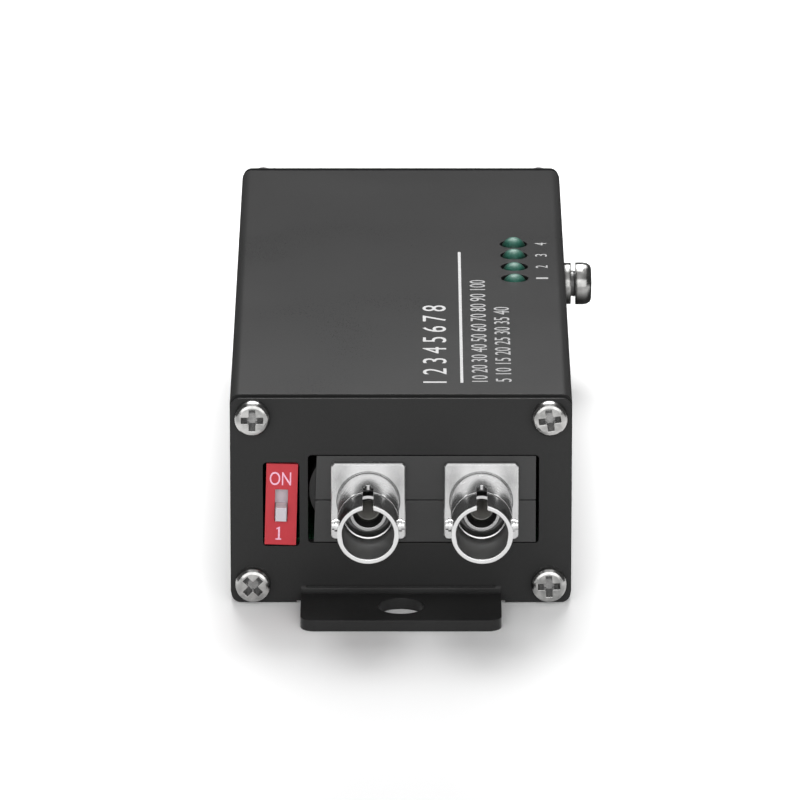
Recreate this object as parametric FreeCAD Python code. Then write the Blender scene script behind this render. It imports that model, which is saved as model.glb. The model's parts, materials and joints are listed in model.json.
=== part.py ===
"""Fibre media converter: a small metal case with an ST transceiver, a one-way DIP switch, four LEDs,
a network jack and a pluggable power terminal.

Millimetres. X points right seen from the front, Y to the rear and Z up. The origin lies under the
middle of the case, on the surface that it stands on.
"""
import FreeCAD
import Part
import math
import os

V = FreeCAD.Vector
X_AXIS = V(1, 0, 0)
Y_AXIS = V(0, 1, 0)
Z_AXIS = V(0, 0, 1)
ORIGIN = V(0, 0, 0)

# ---------------------------------------------------------------- general fits
touch_gap = 0.05          # between fixed pieces that lie against each other
slide_gap = 0.10          # each side of a piece that slides
thread_gap = 0.04         # round a screw in its thread
pin_hole_gap = 0.15       # round a lead in its board hole
half_diagonal = 0.75      # radius that clears a square lead, as a share of its width
overrun = 1.0             # that a cutting shape reaches past the material

# ---------------------------------------------------------------- case
case_width = 38.5
case_height = 24.4
sleeve_length = 87.4
sleeve_wall = 1.3
case_corner_radius = 1.1
plate_thickness = 1.3
plate_edge_inset = 0.1    # the end plates stand back from the sleeve's outline
plate_lip = 0.3           # thickness of an end plate's rim, at its face
plate_step = 0.45         # that the edge behind the rim stands back
opening_corner_radius = 0.45
channel_wall = 0.7        # metal round the screw channels
channel_depth = 12.0      # threaded length of a screw channel

# ---------------------------------------------------------------- mounting ears
ear_width = 22.6
ear_reach = 9.6           # in front of the plate's face
ear_corner_radius = 1.6
ear_hole_diameter = 5.25
ear_hole_reach = 4.7
bend_radius = 0.8
relief_width = 0.48
relief_height = 0.32
bend_line_width = 21.3    # fine groove along the root of the ear
bend_line_height = 0.22
bend_line_depth = 0.2

# ---------------------------------------------------------------- plate screws
screw_side_inset = 2.55
screw_foot_inset = 2.45
screw_top_inset = 2.25
plate_screw_diameter = 2.0
plate_screw_head_diameter = 4.05
plate_screw_head_height = 1.5
plate_screw_length = 6.0
plate_screw_hole_diameter = 2.4
plate_screw_turns = (45, 2, 8, 0)     # degrees that each recess is turned, from the lower left
pan_face_share = 0.72     # nearly flat part of a pan head, of its radius
pan_rim_share = 0.45      # straight side of a pan head, of its height
pan_crown_share = 0.04    # rise of the flat part, of the head's height
recess_span_share = 0.64  # cross recess, of the head's diameter
recess_arm_share = 0.18
recess_core_share = 0.29
recess_depth_share = 0.8  # of the head's height
recess_foot_share = 0.45  # floor of the recess, of its span
screw_point_share = 0.7   # blunt point, of the shank's radius

# ---------------------------------------------------------------- main board
board_top = 6.9
board_thickness = 1.6
board_side_gap = 0.2
board_end_gap = 1.2
rail_depth = 1.2
rail_height = 0.9
lead_tail = 1.4           # of a lead below the board

# ---------------------------------------------------------------- transceiver
port_pitch = 12.7
port_height = 12.35       # axis above the foot of the case
module_x = 2.68
module_width = 25.0
module_standoff = 0.4
module_head_room = 5.15   # from the ports' axis to the top of the housing
module_length = 33.0
module_wall = 1.3
module_parting_height = 0.12    # groove where the two halves meet
module_parting_depth = 0.25
module_side_lean = 0.35
module_opening_left = 0.65
module_opening_right = 0.35
module_opening_rim = 0.12
latch_width = 5.7
latch_thickness = 0.55
latch_set_back = 1.6
latch_length = 7.0
latch_rise = 0.6          # middle of the latch above the ports' axis
module_pin_pitch = 2.54
module_pin_count = 9
module_pin_width = 0.5
module_post_diameter = 1.5
module_post_inset = 2.0
module_post_setback = 5.2
module_board_thickness = 1.0
module_ledge = 0.6        # of each support of that board

# ---------------------------------------------------------------- ST ports
port_flange_width = 8.4
port_flange_height = 9.05
port_flange_thickness = 0.8
port_flange_radius = 0.5
port_flange_bevel = 0.14
barrel_diameter = 6.9
barrel_length = 12.3      # tip in front of the plate's face
barrel_chamfer = 0.08
groove_setback = 4.2      # behind the tip
groove_width = 0.55
groove_depth = 0.25
mouth_diameter = 5.8
mouth_depth = 7.1
well_diameter = 5.44
well_depth = 9.0
ferrule_tube_diameter = 4.2
ferrule_tube_rise = 1.55  # above the well's floor
ferrule_mouth_diameter = 3.46
ferrule_bore_diameter = 2.6
ferrule_taper = 0.8
key_slot_width = 1.2
key_slot_length = 7.1
lug_diameter = 1.1
lug_root_diameter = 1.5
lug_root_span = 7.5
lug_span = 8.1
lug_setback = 3.5
port_stem_diameter = 6.4
port_stem_length = 7.0
split_sleeve_diameter = 3.2
ferrule_diameter = 2.5
ferrule_gap = 0.01        # round a ferrule in its sleeve
split_sleeve_slit = 0.3
can_rim_diameter = 5.5
can_rim_thickness = 1.1
can_lead_diameter = 0.45
can_lead_circle = 2.54
can_lead_angles = (90, 210, 330)
can_lead_length = 4.0

# ---------------------------------------------------------------- DIP switch
switch_x = -13.48
switch_width = 3.55
switch_height = 9.6
switch_face_depth = 4.2
switch_base_depth = 2.4
switch_tilt = 1.6         # degrees, its top towards the transceiver
switch_board_gap = 0.07
switch_gap_sides = 0.3
switch_gap_top = 0.25
switch_wall = 1.0
switch_window_width = 1.45
switch_window_height = 3.8
switch_window_drop = 0.13
knob_height = 1.6
knob_reach = 0.9
carriage_width = 2.1
carriage_overlap = 0.15    # past the window's ends, at either end of the travel
carriage_thickness = 1.2
switch_travel = 1.6
switch_pin_width = 0.5
switch_pin_drop = 2.6

# ---------------------------------------------------------------- LEDs
led_x = 13.3
led_first_y = -0.12
led_pitch = 4.5
led_rises = (0.5, 0.5, 0.75, 0.8)     # dome tops above the case, front to rear
led_diameter = 3.0
led_rim_diameter = 3.5
led_rim_height = 0.9
led_body_height = 4.6
led_hole_diameter = 3.2
led_lead_width = 0.5
led_lead_pitch = 2.54
led_holder_width = 4.6
led_holder_overhang = 2.3

# ---------------------------------------------------------------- earth screw
earth_y = 36.75
earth_height = 12.2
earth_screw_diameter = 3.0
earth_head_diameter = 5.1
earth_head_height = 2.0
earth_screw_length = 4.2
earth_screw_turn = 20
spring_washer_diameter = 5.0
spring_washer_thickness = 0.8
spring_washer_gap = 0.7
spring_washer_lean = 25   # of its slit
flat_washer_diameter = 5.6
flat_washer_thickness = 0.5
earth_stack_stand_off = 0.55   # the screw isn't driven home
washer_bore_gap = 0.12

# ---------------------------------------------------------------- network jack
jack_x = -6.6
jack_width = 16.0
jack_height = 13.4
jack_depth = 21.4
jack_proud = 0.3
jack_shell = 0.3
jack_plug_width = 11.9
jack_plug_height = 7.6
jack_plug_depth = 14.0
jack_plug_lift = 3.9
latch_slot_width = 6.4
latch_slot_depth = 1.3
latch_notch_width = 3.3
latch_notch_depth = 1.2
jack_contact_count = 8
jack_contact_pitch = 1.016
jack_contact_width = 0.4
jack_contact_drop = 1.9
jack_contact_slope_share = 0.7    # of the plug's depth
jack_comb_inset = 1.2
jack_opening_gap = 0.2

# ---------------------------------------------------------------- power terminal
terminal_x = 10.0
pole_pitch = 5.08
header_width = 12.6
header_height = 8.8
header_depth = 12.2
header_wall = 0.8
header_back_wall = 1.6
header_pin_width = 1.0
header_pin_length = 8.0
plug_insert_depth = 9.2
plug_rear_depth = 10.2
plug_rear_height = 10.2
plug_flange_gap = 0.3
clamp_screw_diameter = 2.5
clamp_screw_head_diameter = 3.2
clamp_screw_head_height = 1.4
clamp_screw_recess = 0.2
clamp_shoulder = 0.6
clamp_slot_width = 0.5
clamp_slot_turns = (35, -20)
cage_width = 4.0
cage_depth = 3.6
cage_height = 5.2
cage_side = 0.65
cage_foot = 0.8
cage_head = 1.2
cage_floor_gap = 0.15
plug_floor = 0.8
strip_thickness = 0.6
strip_width = 2.2
strip_nose_reach = 0.95   # of a contact strip, into the plug's nose
wire_entry_width = 3.0
wire_entry_height = 2.3

# ---------------------------------------------------------------- parts on the board
chip_x = 0.5
chip_y = 6.0
chip_side = 14.0
chip_height = 1.5
chip_bevel = 0.25
transformer_x = -11.7
transformer_y = 16.0
transformer_width = 9.4
transformer_length = 12.6
transformer_height = 6.0
inductor_x = 1.0
inductor_y = 19.5
inductor_side = 7.0
inductor_height = 4.0
inductor_bevel = 0.6
capacitor_x = 8.2
capacitor_y = 26.5
capacitor_diameter = 6.3
capacitor_height = 7.7
capacitor_foot_height = 1.2
capacitor_foot_ledge = 0.15
capacitor_rim_bevel = 0.4
crystal_x = -11.5
crystal_y = -1.0
crystal_width = 4.8
crystal_length = 11.4
crystal_height = 3.5
crystal_rim = 0.35
crystal_rim_height = 0.4

# ---------------------------------------------------------------- derived places
half_width = case_width / 2
half_sleeve = sleeve_length / 2
front_face = -half_sleeve - plate_thickness
rear_face = half_sleeve + plate_thickness
inner_half_width = half_width - sleeve_wall
board_bottom = board_top - board_thickness
lead_foot = board_bottom - lead_tail
module_foot = board_top + module_standoff
module_height = port_height + module_head_room - module_foot
module_left = module_x - module_width / 2
module_right = module_x + module_width / 2
module_back = front_face + module_length
module_split = port_height
port_xs = (module_x - port_pitch / 2, module_x + port_pitch / 2)
switch_z = board_top + switch_board_gap + switch_height / 2
carriage_height = switch_window_height + switch_travel + 2 * carriage_overlap
led_ys = [led_first_y + index * led_pitch for index in range(len(led_rises))]
terminal_rear = rear_face + jack_proud
header_mid = board_top + header_height / 2
pole_xs = (terminal_x - pole_pitch / 2, terminal_x + pole_pitch / 2)
screw_places = [
    (-half_width + screw_side_inset, screw_foot_inset),
    (half_width - screw_side_inset, screw_foot_inset),
    (half_width - screw_side_inset, case_height - screw_top_inset),
    (-half_width + screw_side_inset, case_height - screw_top_inset),
]


# ---------------------------------------------------------------- helpers
def box(x0, x1, y0, y1, z0, z1):
    return Part.makeBox(x1 - x0, y1 - y0, z1 - z0, V(x0, y0, z0))


def rod(radius, start, end):
    """Round bar between two points."""
    return Part.makeCylinder(radius, (end - start).Length, start, end - start)


def rounded_along_y(x0, x1, y0, y1, z0, z1, radius):
    """Box whose four edges along Y are rounded."""
    solid = box(x0, x1, y0, y1, z0, z1)
    edges = [edge for edge in solid.Edges if abs(edge.tangentAt(0).y) > 0.9]
    return solid.makeFillet(radius, edges)


def prism_x(points, x0, x1):
    """Polygon of (y, z) points carried from x0 to x1."""
    wire = Part.makePolygon([V(x0, y, z) for y, z in points + points[:1]])
    return Part.Face(wire).extrude(V(x1 - x0, 0, 0))


def prism_y(points, y0, y1):
    """Polygon of (x, z) points carried from y0 to y1."""
    wire = Part.makePolygon([V(x, y0, z) for x, z in points + points[:1]])
    return Part.Face(wire).extrude(V(0, y1 - y0, 0))


def turned(points):
    """Closed profile of (radius, height) points turned about Z."""
    wire = Part.makePolygon([V(radius, 0, height) for radius, height in points + points[:1]])
    return Part.Face(wire).revolve(ORIGIN, Z_AXIS, 360)


def placed(shape, place, direction):
    """The shape with its own Z turned to a direction and its origin moved to a place."""
    moved = shape.copy()
    moved.Placement = FreeCAD.Placement(place, FreeCAD.Rotation(Z_AXIS, direction)).multiply(moved.Placement)
    return moved


def fused(shapes):
    solid = shapes[0].multiFuse(shapes[1:]) if len(shapes) > 1 else shapes[0]
    return solid.removeSplitter()


def half_turn(shape):
    """The shape turned half a turn about Z, which takes the front to the rear."""
    moved = shape.copy()
    moved.rotate(ORIGIN, Z_AXIS, 180)
    return moved


# ---------------------------------------------------------------- case
def case_sleeve():
    """Drawn tube with rails for the board and threaded channels for the plate screws."""
    outer = rounded_along_y(-half_width, half_width, -half_sleeve, half_sleeve, 0, case_height,
                            case_corner_radius)
    bore = box(-inner_half_width, inner_half_width, -half_sleeve, half_sleeve,
               sleeve_wall, case_height - sleeve_wall)
    sleeve = outer.cut(bore)
    extras = []
    for side in (-1, 1):
        for foot in (board_bottom - touch_gap - rail_height, board_top + touch_gap):
            edges = sorted((side * inner_half_width, side * (inner_half_width - rail_depth)))
            root = sleeve_wall / 2
            edges[0 if side < 0 else 1] += side * root
            extras.append(box(edges[0], edges[1], -half_sleeve, half_sleeve, foot, foot + rail_height))
    channel_radius = plate_screw_diameter / 2 + channel_wall
    for x, z in screw_places:
        column = rod(channel_radius, V(x, -half_sleeve, z), V(x, half_sleeve, z))
        extras.append(column.common(outer))
    sleeve = fused([sleeve] + extras)
    cuts = []
    for x, z in screw_places:
        for y, depth in ((-half_sleeve, channel_depth), (half_sleeve, -channel_depth)):
            cuts.append(rod(plate_screw_diameter / 2 + thread_gap, V(x, y, z), V(x, y + depth, z)))
    for y in led_ys:
        cuts.append(rod(led_hole_diameter / 2, V(led_x, y, case_height - 2 * sleeve_wall),
                        V(led_x, y, case_height + sleeve_wall)))
    cuts.append(rod(earth_screw_diameter / 2 + thread_gap,
                    V(inner_half_width - rail_depth, earth_y, earth_height),
                    V(half_width + sleeve_wall, earth_y, earth_height)))
    return sleeve.cut(Part.makeCompound(cuts))


def ear_blank():
    """Foot of an end plate: a quarter bend and the flat tab, seen from the side as one profile."""
    bend_y = -plate_thickness - bend_radius
    bend_z = plate_thickness + bend_radius
    front = -plate_thickness - ear_reach
    outer_radius = bend_radius + plate_thickness
    diagonal = math.sqrt(0.5)
    edges = [
        Part.LineSegment(V(0, 0, bend_z), V(0, -plate_thickness, bend_z)),
        Part.Arc(V(0, -plate_thickness, bend_z),
                 V(0, bend_y + bend_radius * diagonal, bend_z - bend_radius * diagonal),
                 V(0, bend_y, plate_thickness)),
        Part.LineSegment(V(0, bend_y, plate_thickness), V(0, front, plate_thickness)),
        Part.LineSegment(V(0, front, plate_thickness), V(0, front, 0)),
        Part.LineSegment(V(0, front, 0), V(0, bend_y, 0)),
        Part.Arc(V(0, bend_y, 0),
                 V(0, bend_y + outer_radius * diagonal, bend_z - outer_radius * diagonal),
                 V(0, 0, bend_z)),
    ]
    profile = Part.Face(Part.Wire([edge.toShape() for edge in edges]))
    profile.translate(V(-ear_width / 2, 0, 0))
    tab = profile.extrude(V(ear_width, 0, 0))
    corners = [edge for edge in tab.Edges
               if abs(edge.Vertexes[0].Point.y - front) < 1e-6 and abs(edge.tangentAt(0).z) > 0.9]
    tab = tab.makeFillet(ear_corner_radius, corners)
    hole_y = -plate_thickness - ear_hole_reach
    hole = rod(ear_hole_diameter / 2, V(0, hole_y, -plate_thickness), V(0, hole_y, 2 * plate_thickness))
    return tab.cut(hole)


def plate_blank():
    """Flat sheet of an end plate: a rim at its face, and an edge that stands back behind the rim."""
    half = half_width - plate_edge_inset
    head = case_height - plate_edge_inset
    rim = rounded_along_y(-half, half, -plate_thickness, plate_lip - plate_thickness,
                          plate_edge_inset, head, case_corner_radius)
    core = rounded_along_y(-half + plate_step, half - plate_step, -plate_thickness, 0,
                           plate_edge_inset + plate_step, head - plate_step, case_corner_radius - plate_step)
    return fused([rim, core])


def bend_line():
    """Cutting shape of the fine groove where the ear's bend meets the plate's face."""
    top = plate_thickness + bend_radius
    return box(-bend_line_width / 2, bend_line_width / 2, -plate_thickness - bend_line_depth,
               -plate_thickness + bend_line_depth, top - bend_line_height, top)


def end_plate(openings):
    """Sheet end plate with its back at y = 0, facing -Y; openings are (x0, x1, z0, z1)."""
    notch_reach = ear_width / 2 + relief_width
    cuts = [
        box(-ear_width / 2, ear_width / 2, -plate_thickness, 0, 0, bend_radius + plate_thickness),
        box(-notch_reach, notch_reach, -plate_thickness, 0, 0, relief_height),
    ]
    for x, z in screw_places:
        cuts.append(rod(plate_screw_hole_diameter / 2, V(x, -plate_thickness, z), V(x, 0, z)))
    for x0, x1, z0, z1 in openings:
        cuts.append(rounded_along_y(x0, x1, -plate_thickness, 0, z0, z1, opening_corner_radius))
    plate = plate_blank().cut(Part.makeCompound(cuts))
    return fused([plate, ear_blank()]).cut(bend_line())


def front_plate():
    lean = math.radians(switch_tilt)
    switch_half = (switch_width * math.cos(lean) + switch_height * math.sin(lean)) / 2 + switch_gap_sides / 2
    switch_rise = (switch_height * math.cos(lean) + switch_width * math.sin(lean)) / 2 + switch_gap_top / 2
    openings = [
        (module_left - module_opening_left, module_right + module_opening_right,
         module_foot - module_opening_rim, module_foot + module_height + module_opening_rim),
        (switch_x - switch_half, switch_x + switch_half, switch_z - switch_rise, switch_z + switch_rise),
    ]
    plate = end_plate(openings)
    plate.translate(V(0, -half_sleeve, 0))
    return plate


def rear_plate():
    jack_half = jack_width / 2 + jack_opening_gap
    header_half = header_width / 2 + jack_opening_gap
    openings = [
        (-jack_x - jack_half, -jack_x + jack_half,
         board_top - jack_opening_gap, board_top + jack_height + jack_opening_gap),
        (-terminal_x - header_half, -terminal_x + header_half,
         board_top - jack_opening_gap, board_top + header_height + jack_opening_gap),
    ]
    plate = end_plate(openings)
    plate.translate(V(0, -half_sleeve, 0))
    return half_turn(plate)


# ---------------------------------------------------------------- screws
def pan_screw(shank_radius, head_radius, head_height, length, recess_turn):
    """Pan-head screw with a cross recess, its seat at the origin and its head upwards."""
    face = head_radius * pan_face_share
    face_height = head_height * (1 - pan_crown_share)
    side = head_height * pan_rim_share
    point = shank_radius * screw_point_share
    profile = [(0, -length), (point, -length), (shank_radius, -length + shank_radius - point),
               (shank_radius, 0), (head_radius, 0), (head_radius, side)]
    for angle in (30, 60):
        out = math.cos(math.radians(angle))
        up = math.sin(math.radians(angle))
        profile.append((face + (head_radius - face) * out, side + (face_height - side) * up))
    profile += [(face, face_height), (0, head_height)]
    screw = turned(profile)
    arm = head_radius * recess_span_share
    width = head_radius * recess_arm_share
    floor = head_height * (1 - recess_depth_share)
    foot = arm * recess_foot_share
    cross = [rod(head_radius * recess_core_share, V(0, 0, floor), V(0, 0, head_height))]
    outline = [(-arm, head_height), (arm, head_height), (foot, floor), (-foot, floor)]
    for turn in (0, 90):
        blade = prism_x(outline, -width, width)
        blade.rotate(ORIGIN, Z_AXIS, turn + recess_turn)
        cross.append(blade)
    return screw.cut(fused(cross))


def plate_screws(face, direction):
    """The four screws of one end plate, as separate solids."""
    screws = []
    for (x, z), turn in zip(screw_places, plate_screw_turns):
        screw = pan_screw(plate_screw_diameter / 2, plate_screw_head_diameter / 2,
                          plate_screw_head_height, plate_screw_length, turn)
        screws.append(placed(screw, V(x, face, z), direction))
    return Part.makeCompound(screws)


def earth_screw():
    seat = half_width + flat_washer_thickness + spring_washer_thickness + earth_stack_stand_off
    screw = pan_screw(earth_screw_diameter / 2, earth_head_diameter / 2, earth_head_height,
                      earth_screw_length, earth_screw_turn)
    return placed(screw, V(seat, earth_y, earth_height), X_AXIS)


def washer(outer_diameter, thickness):
    bore = earth_screw_diameter / 2 + washer_bore_gap
    outer = outer_diameter / 2
    return turned([(bore, 0), (outer, 0), (outer, thickness), (bore, thickness)])


def earth_flat_washer():
    ring = washer(flat_washer_diameter, flat_washer_thickness)
    return placed(ring, V(half_width, earth_y, earth_height), X_AXIS)


def earth_spring_washer():
    """Split ring whose two ends stand a little apart."""
    ring = washer(spring_washer_diameter, spring_washer_thickness)
    slit = box(0, spring_washer_diameter, -spring_washer_gap / 2, spring_washer_gap / 2,
               -spring_washer_thickness, 2 * spring_washer_thickness)
    slit.rotate(V(0, 0, spring_washer_thickness / 2), X_AXIS, spring_washer_lean)
    return placed(ring.cut(slit), V(half_width + flat_washer_thickness, earth_y, earth_height), X_AXIS)


# ---------------------------------------------------------------- transceiver
def module_outline(foot, head):
    """Cross-section of one half of the housing; its left side leans in towards the top."""
    def left(z):
        return module_left + module_side_lean * (z - module_foot) / module_height
    return [(left(foot), foot), (module_right, foot), (module_right, head), (left(head), head)]


def stem_bores():
    radius = port_stem_diameter / 2 + touch_gap
    return [rod(radius, V(x, front_face, port_height), V(x, front_face + port_stem_length, port_height))
            for x in port_xs]


def module_post_places():
    y = front_face + module_wall + module_post_setback
    return [(module_left + module_post_inset, y), (module_right - module_post_inset, y)]


def module_pin_places():
    first = module_x - module_pin_pitch * (module_pin_count - 1) / 2
    y = module_back - module_wall - module_pin_pitch
    return [(first + index * module_pin_pitch, y) for index in range(module_pin_count)]


def module_board_top():
    """The lower leads of each diode header lie on the small board."""
    lowest = min(math.sin(math.radians(angle)) for angle in can_lead_angles)
    return port_height + can_lead_circle / 2 * lowest - can_lead_diameter / 2 - touch_gap


def transceiver_housing_lower():
    """Tray of the transceiver, with its feet, two posts and the latch that shows beside the opening."""
    tray = prism_y(module_outline(module_foot, module_split), front_face, module_back)
    inside = box(module_left + module_wall, module_right - module_wall, front_face + module_wall,
                 module_back - module_wall, module_foot + module_wall, module_split)
    pieces = [tray.cut(inside)]
    for x, y in module_post_places():
        pieces.append(rod(module_post_diameter / 2, V(x, y, lead_foot), V(x, y, module_foot + module_wall)))
        pieces.append(rod(module_post_diameter, V(x, y, board_top), V(x, y, module_foot + module_wall / 2)))
    for x, y in (module_pin_places()[0], module_pin_places()[-1]):
        pieces.append(rod(module_post_diameter, V(x, y - 2 * module_pin_pitch, board_top),
                          V(x, y - 2 * module_pin_pitch, module_foot + module_wall / 2)))
    support_top = module_board_top() - module_board_thickness - touch_gap
    for x in (module_left + module_wall, module_right - module_wall - module_ledge):
        pieces.append(box(x, x + module_ledge, module_back - module_wall - 4 * module_pin_pitch,
                          module_back - module_wall, module_foot + module_wall / 2, support_top))
    pieces.append(side_latch())
    parting_foot = module_split - module_parting_height
    parting = box(module_left, module_right, front_face, module_back, parting_foot, module_split)
    kept = box(module_left, module_right - module_parting_depth, front_face + module_parting_depth,
               module_back, parting_foot, module_split)
    cuts = stem_bores() + [parting.cut(kept)]
    reach = module_pin_width / 2 + touch_gap
    for x, y in module_pin_places():
        cuts.append(box(x - reach, x + reach, y - reach, y + reach, module_foot - module_wall,
                        module_foot + 2 * module_wall))
    return fused(pieces).cut(Part.makeCompound(cuts))


def side_latch():
    """Leaf with rounded ends on the left side, which clips the two halves together."""
    middle = port_height + latch_rise
    half = latch_width / 2
    start = front_face + latch_set_back
    outer = module_left - latch_thickness
    root = module_left + module_side_lean
    edges = [
        Part.LineSegment(V(root, start, middle - half), V(root, start, middle + half)),
        Part.Arc(V(root, start, middle + half), V(outer, start, middle), V(root, start, middle - half)),
    ]
    face = Part.Face(Part.Wire([edge.toShape() for edge in edges]))
    leaf = face.extrude(V(0, latch_length, 0))
    upper = prism_y(module_outline(module_split, module_foot + module_height), front_face, module_back)
    return leaf.cut(upper)


def transceiver_housing_upper():
    """Lid of the transceiver."""
    top = module_foot + module_height
    lid = prism_y(module_outline(module_split, top), front_face, module_back)
    inside = box(module_left + module_wall, module_right - module_wall, front_face + module_wall,
                 module_back - module_wall, module_split, top - module_wall)
    return lid.cut(inside).cut(Part.makeCompound(stem_bores()))


def transceiver_board():
    top = module_board_top()
    front = front_face + port_stem_length + can_rim_thickness + can_lead_length / 4
    gap = touch_gap + module_wall
    board = box(module_left + gap, module_right - gap, front, module_back - gap,
                top - module_board_thickness, top)
    reach = module_pin_width / 2 + touch_gap
    holes = [box(x - reach, x + reach, y - reach, y + reach, top - 2 * module_board_thickness, top)
             for x, y in module_pin_places()]
    return board.cut(Part.makeCompound(holes))


def transceiver_pins():
    """Row of nine square pins, as separate solids."""
    reach = module_pin_width / 2
    return Part.makeCompound([box(x - reach, x + reach, y - reach, y + reach, lead_foot, module_board_top())
                              for x, y in module_pin_places()])


def st_port():
    """Bayonet receptacle standing on its flange at z = 0, with its stem below and its key slot towards +Y."""
    barrel = barrel_diameter / 2
    mouth = mouth_diameter / 2
    well = well_diameter / 2
    bore = ferrule_bore_diameter / 2
    seat = split_sleeve_diameter / 2 + thread_gap
    floor = barrel_length - well_depth
    tube_top = floor + ferrule_tube_rise
    groove_top = barrel_length - groove_setback
    groove_foot = groove_top - groove_width
    profile = [
        (seat, -port_stem_length),
        (port_stem_diameter / 2, -port_stem_length),
        (port_stem_diameter / 2, 0),
        (barrel, 0),
        (barrel, groove_foot),
        (barrel - groove_depth, groove_foot),
        (barrel - groove_depth, groove_top),
        (barrel, groove_top),
        (barrel, barrel_length - barrel_chamfer),
        (barrel - barrel_chamfer, barrel_length),
        (mouth + barrel_chamfer, barrel_length),
        (mouth, barrel_length - barrel_chamfer),
        (mouth, barrel_length - mouth_depth),
        (well, barrel_length - mouth_depth - barrel_chamfer),
        (well, floor),
        (ferrule_tube_diameter / 2, floor),
        (ferrule_tube_diameter / 2, tube_top),
        (ferrule_mouth_diameter / 2, tube_top),
        (bore, tube_top - ferrule_taper),
        (bore, sleeve_seat()),
        (seat, sleeve_seat()),
    ]
    body = turned(profile)
    half_w = port_flange_width / 2
    half_h = port_flange_height / 2
    flange = box(-half_w, half_w, -half_h, half_h, 0, port_flange_thickness)
    corners = [edge for edge in flange.Edges if abs(edge.tangentAt(0).z) > 0.9]
    flange = flange.makeFillet(port_flange_radius, corners)
    front = [edge for edge in flange.Edges if edge.BoundBox.ZMin > port_flange_thickness - 1e-6]
    flange = flange.makeChamfer(port_flange_bevel, front)
    flange = flange.cut(rod(barrel - groove_depth, V(0, 0, -overrun),
                            V(0, 0, port_flange_thickness + overrun)))
    countersink = Part.makeCone(barrel, barrel + port_flange_bevel, port_flange_bevel,
                                V(0, 0, port_flange_thickness - port_flange_bevel))
    flange = flange.cut(countersink)
    lug_z = barrel_length - lug_setback
    lugs = []
    for side in (-1, 1):
        root = V(side * (mouth + groove_depth), 0, lug_z)
        lugs.append(rod(lug_root_diameter / 2, root, V(side * lug_root_span / 2, 0, lug_z)))
        lugs.append(rod(lug_diameter / 2, root, V(side * lug_span / 2, 0, lug_z)))
    port = fused([body, flange] + lugs)
    slot_end = barrel_length - key_slot_length + key_slot_width / 2
    slot_floor = (mouth + well) / 2 - groove_depth
    slot = fused([
        box(-key_slot_width / 2, key_slot_width / 2, slot_floor, barrel + overrun, slot_end,
            barrel_length + overrun),
        rod(key_slot_width / 2, V(0, slot_floor, slot_end), V(0, barrel + overrun, slot_end)),
    ])
    return port.cut(slot)


def sleeve_seat():
    """Level at which the split sleeve stops in the bore, above the transceiver's face."""
    return barrel_length - well_depth + ferrule_tube_rise - 2 * ferrule_taper


def at_port(shape, x):
    """Stands a piece of a port, drawn along Z, on the transceiver's face."""
    return placed(shape, V(x, front_face, port_height), -Y_AXIS)


def split_sleeve():
    """Slit tube that lines up the ferrule with the diode."""
    outer = split_sleeve_diameter / 2
    top = sleeve_seat() - touch_gap
    foot = -port_stem_length + touch_gap
    inner = ferrule_diameter / 2 + ferrule_gap
    tube = turned([(inner, foot), (outer, foot), (outer, top), (inner, top)])
    slit = box(-split_sleeve_slit / 2, split_sleeve_slit / 2, 0, outer * 2, foot - overrun, top + overrun)
    return tube.cut(slit)


def diode_header():
    """Round metal header with three leads, which closes the stem of a port from behind."""
    seat = -port_stem_length - touch_gap
    header = rod(can_rim_diameter / 2, V(0, 0, seat - can_rim_thickness), V(0, 0, seat))
    pieces = [header]
    for angle in can_lead_angles:
        x = can_lead_circle / 2 * math.cos(math.radians(angle))
        y = can_lead_circle / 2 * math.sin(math.radians(angle))
        start = V(x, y, seat - can_rim_thickness / 2)
        pieces.append(rod(can_lead_diameter / 2, start, start - V(0, 0, can_lead_length)))
    return fused(pieces)


# ---------------------------------------------------------------- DIP switch
def at_switch(shape):
    """Moves a piece drawn round the middle of the switch's face to its place, with the switch's lean."""
    moved = shape.copy()
    moved.rotate(ORIGIN, Y_AXIS, switch_tilt)
    moved.translate(V(switch_x, front_face, switch_z))
    return moved


def switch_block(y0, y1):
    return box(-switch_width / 2, switch_width / 2, y0, y1, -switch_height / 2, switch_height / 2)


def dip_switch_housing():
    half = carriage_width / 2 + slide_gap
    rise = carriage_height / 2 + switch_travel / 2 + slide_gap
    window_z = -switch_window_drop
    window = box(-switch_window_width / 2, switch_window_width / 2, -overrun, switch_wall + overrun,
                 window_z - switch_window_height / 2, window_z + switch_window_height / 2)
    pocket = box(-half, half, switch_wall, switch_face_depth, window_z - rise, window_z + rise)
    return at_switch(switch_block(0, switch_face_depth).cut(window).cut(pocket))


def switch_pin_xs():
    """Of the two pins, from the switch's middle."""
    return (-switch_width / 4, switch_width / 4)


def dip_switch_base():
    """Rear half of the switch, with a pad that backs the carriage."""
    back = switch_face_depth + touch_gap
    block = switch_block(back, back + switch_base_depth)
    pad_front = switch_wall + slide_gap * 2 + carriage_thickness
    pad = box(-carriage_width / 2, carriage_width / 2, pad_front, back,
              -switch_window_drop - carriage_height / 2, -switch_window_drop + carriage_height / 2)
    slots = [box(x - switch_pin_width / 2 - touch_gap, x + switch_pin_width / 2 + touch_gap,
                 back + switch_base_depth / 2, back + switch_base_depth + overrun,
                 -switch_pin_drop - switch_pin_width / 2 - touch_gap,
                 -switch_pin_drop + switch_pin_width / 2 + touch_gap) for x in switch_pin_xs()]
    return at_switch(fused([block, pad]).cut(Part.makeCompound(slots)))


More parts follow.
